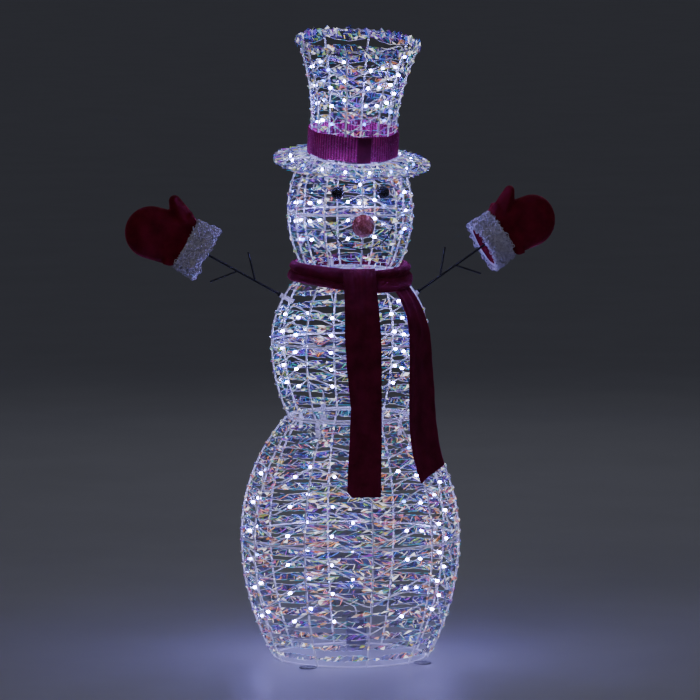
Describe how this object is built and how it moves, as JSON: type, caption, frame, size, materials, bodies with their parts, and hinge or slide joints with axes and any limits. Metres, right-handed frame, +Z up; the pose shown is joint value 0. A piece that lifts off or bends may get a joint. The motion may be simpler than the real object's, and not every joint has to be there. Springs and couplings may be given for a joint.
{
  "type": "lit wire-frame snowman yard figure",
  "caption": "Standing lit snowman of stacked wire cages wound with clear film tape, with a flared top hat, scarf, wire twig arms and mittens.",
  "frame": {"origin": "centre of the ground footprint, under the middle of the base ring", "axes": "+Z up, -Y is the way the snowman faces, +X is the snowman's left hand side, on the right as it is seen from the front"},
  "size_m": [0.8443, 0.4232, 1.1994],
  "materials": {
    "frame_wire": "white powder coat",
    "bare_wire": "grey powder coat",
    "clear_film": "clear iridescent polyester film",
    "clear_cable": "clear PVC over fine wire",
    "lamp": "cool white lamp, lit",
    "connector_plastic": "satin",
    "box_plastic": "fine texture",
    "seal_rubber": "soft",
    "screw_steel": "zinc plated",
    "circuit_board": "solder mask",
    "inlet_plastic": "satin",
    "button_rubber": "soft touch",
    "burgundy_velvet": "short pile velvet",
    "mitten_velvet": "short pile velvet",
    "cuff_fleece": "curly fleece",
    "black_wire": "black coat",
    "eye_glitter": "black glitter",
    "nose_copper": "metallic copper cord"
  },
  "bodies": {
    "lower_section": {"base_ring": "frame_wire", "lower_mid_ring": "frame_wire", "waist_ring": "frame_wire", "lower_ribs": "frame_wire", "stake_loops": "bare_wire", "waist_sockets": "frame_wire", "lower_film": "clear_film", "lower_connector_socket": "connector_plastic", "lower_lamp_cable": "clear_cable", "lower_lamps": "lamp", "control_box_tray": "box_plastic", "control_box_gasket": "seal_rubber", "control_box_lid": "box_plastic", "control_box_screws": "screw_steel", "control_circuit_board": "circuit_board", "control_box_clips": "box_plastic", "power_inlet": "inlet_plastic"},
    "mode_button": {"mode_button": "button_rubber"},
    "torso_section": {"torso_rings": "frame_wire", "torso_ribs": "frame_wire", "torso_spigots": "frame_wire", "neck_sockets": "frame_wire", "arm_sockets": "frame_wire", "torso_film": "clear_film", "torso_connector_plug": "connector_plastic", "torso_connector_socket": "connector_plastic", "torso_lamp_cable": "clear_cable", "torso_lamps": "lamp", "scarf_neck_wrap": "burgundy_velvet", "scarf_front_tail": "burgundy_velvet", "scarf_side_tail": "burgundy_velvet"},
    "head_section": {"head_rings": "frame_wire", "head_ribs": "frame_wire", "head_spigots": "frame_wire", "crown_sockets": "frame_wire", "head_film": "clear_film", "head_connector_plug": "connector_plastic", "head_connector_socket": "connector_plastic", "head_lamp_cable": "clear_cable", "head_lamps": "lamp", "eyes": "eye_glitter", "nose": "nose_copper", "mouth_wire": "black_wire"},
    "hat": {"hat_rings": "frame_wire", "brim_spokes": "frame_wire", "crown_ribs": "frame_wire", "crown_film": "clear_film", "brim_film": "clear_film", "hat_band": "burgundy_velvet", "hat_spigots": "frame_wire", "hat_connector_plug": "connector_plastic", "hat_lamp_cable": "clear_cable", "hat_lamps": "lamp"},
    "left_arm": {"left_arm_wire": "black_wire"},
    "right_arm": {"right_arm_wire": "black_wire"},
    "left_mitten": {"left_mitten": "mitten_velvet", "left_cuff": "cuff_fleece"},
    "right_mitten": {"right_mitten": "mitten_velvet", "right_cuff": "cuff_fleece"}
  },
  "joints": [
    {"name": "torso_lift", "type": "slide", "parent": "lower_section", "child": "torso_section", "axis": [0, 0, 1], "range_m": [0, 0.15]},
    {"name": "head_lift", "type": "slide", "parent": "torso_section", "child": "head_section", "axis": [0, 0, 1], "range_m": [0, 0.12]},
    {"name": "hat_lift", "type": "slide", "parent": "head_section", "child": "hat", "axis": [0.0207, -0.1461, 0.9891], "range_m": [0, 0.12]},
    {"name": "left_arm_twist", "type": "hinge", "parent": "torso_section", "child": "left_arm", "pos_m": [-0.127, 0.0059, 0.694], "axis": [-0.8585, 0.1669, 0.4848], "range_deg": [-30, 30]},
    {"name": "right_arm_twist", "type": "hinge", "parent": "torso_section", "child": "right_arm", "pos_m": [0.127, 0.0059, 0.694], "axis": [0.837, 0.1627, 0.5225], "range_deg": [-30, 30]},
    {"name": "left_mitten_pull", "type": "slide", "parent": "left_arm", "child": "left_mitten", "axis": [-0.8585, 0.1669, 0.4848], "range_m": [0, 0.09]},
    {"name": "right_mitten_pull", "type": "slide", "parent": "right_arm", "child": "right_mitten", "axis": [0.837, 0.1627, 0.5225], "range_m": [0, 0.09]},
    {"name": "mode_button_press", "type": "slide", "parent": "lower_section", "child": "mode_button", "axis": [-0.309, -0.9511, 0], "range_m": [0, 0.0015], "stiffness_N_per_m": 300}
  ]
}
